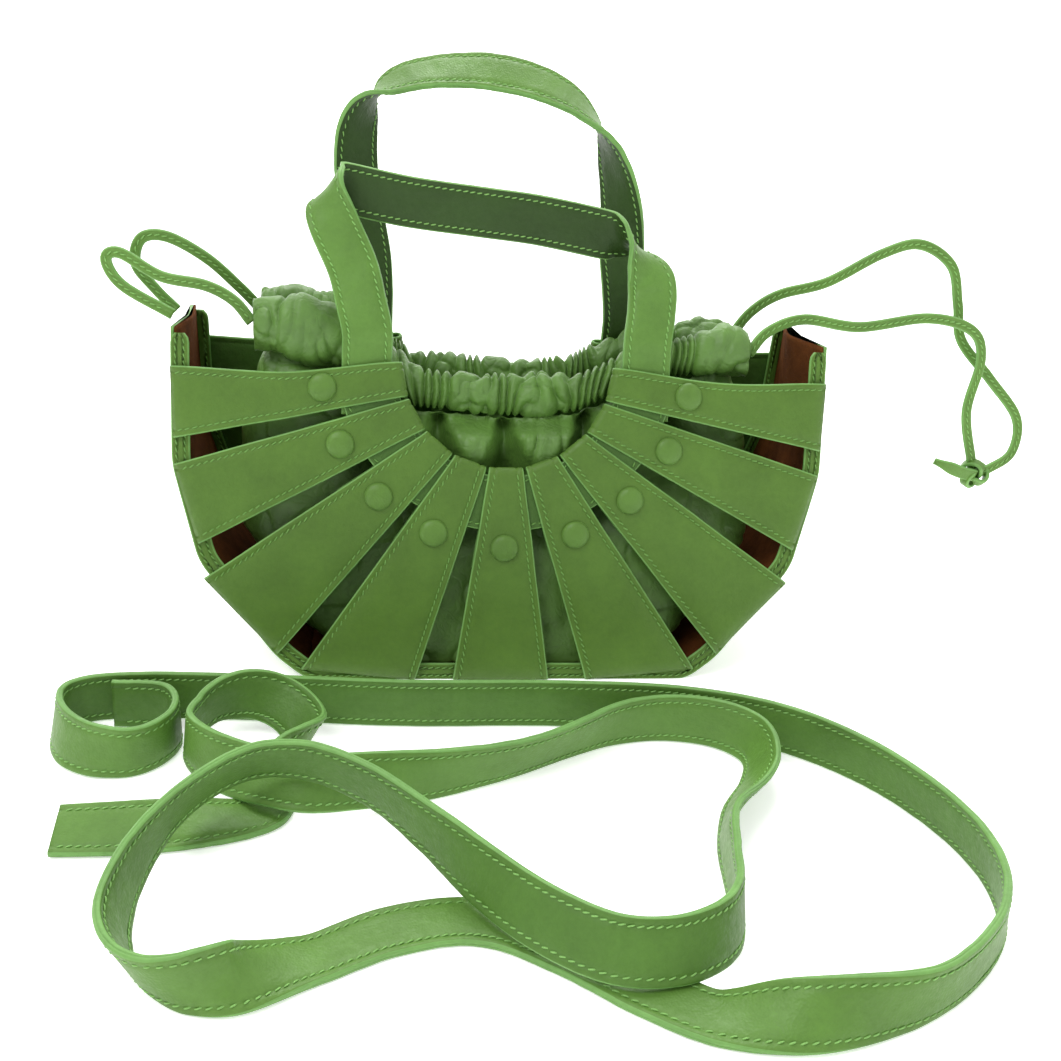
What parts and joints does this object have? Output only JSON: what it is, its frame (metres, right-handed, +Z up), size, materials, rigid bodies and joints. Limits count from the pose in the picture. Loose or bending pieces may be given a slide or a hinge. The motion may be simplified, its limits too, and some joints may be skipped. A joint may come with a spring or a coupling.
{
  "type": "leather shell bag",
  "caption": "Half-moon leather bag with a fan of strips on each side, two folding handles, a drawstring pouch and a loose shoulder strap.",
  "frame": {"origin": "middle of the base, on the surface that the bag stands on", "axes": "+X to the right seen from the front, -Y towards the front, +Z up"},
  "size_m": [0.4435, 0.358, 0.2694],
  "materials": {
    "shell_leather": "smooth grain leather, satin",
    "cap_leather": "smooth leather stretched over a cap, satin",
    "handle_leather": "two-layer stitched leather, satin",
    "strap_leather": "two-layer stitched leather, satin",
    "thong_leather": "narrow stitched leather, satin",
    "brown_suede": "suede, matte",
    "pouch_cloth": "thin crinkled cloth with a slight sheen",
    "snap_metal": "nickel plated"
  },
  "bodies": {
    "bag": {"front_strip_1": "shell_leather", "front_strip_2": "shell_leather", "front_strip_3": "shell_leather", "front_strip_4": "shell_leather", "front_strip_5": "shell_leather", "front_strip_6": "shell_leather", "front_strip_7": "shell_leather", "front_strip_8": "shell_leather", "front_strip_9": "shell_leather", "back_strip_1": "shell_leather", "back_strip_2": "shell_leather", "back_strip_3": "shell_leather", "back_strip_4": "shell_leather", "back_strip_5": "shell_leather", "back_strip_6": "shell_leather", "back_strip_7": "shell_leather", "back_strip_8": "shell_leather", "back_strip_9": "shell_leather", "front_collar": "shell_leather", "back_collar": "shell_leather", "front_edge_binding": "shell_leather", "back_edge_binding": "shell_leather", "left_gusset": "shell_leather", "right_gusset": "shell_leather", "base_panel": "shell_leather", "left_lining": "brown_suede", "right_lining": "brown_suede", "base_lining": "brown_suede", "front_snap_caps": "cap_leather", "back_snap_caps": "cap_leather", "front_snap_studs": "snap_metal", "back_snap_studs": "snap_metal", "front_snap_sockets": "snap_metal", "back_snap_sockets": "snap_metal", "front_handle_feet": "handle_leather", "rear_handle_feet": "handle_leather", "drawstring_pouch": "pouch_cloth", "front_casing": "pouch_cloth", "rear_casing": "pouch_cloth", "left_thong_rear": "thong_leather", "left_thong_front": "thong_leather", "right_thong_rear": "thong_leather", "right_thong_front": "thong_leather", "thong_knot": "thong_leather", "shoulder_strap": "strap_leather"},
    "front_handle": {"front_handle": "handle_leather"},
    "rear_handle": {"rear_handle": "handle_leather"}
  },
  "joints": [
    {"name": "front_handle_fold", "type": "hinge", "parent": "bag", "child": "front_handle", "pos_m": [0, -0.0284, 0.1495], "axis": [1, 0, 0], "range_deg": [-5, 115]},
    {"name": "rear_handle_fold", "type": "hinge", "parent": "bag", "child": "rear_handle", "pos_m": [0, 0.0284, 0.1495], "axis": [-1, 0, 0], "range_deg": [-8, 115]}
  ]
}
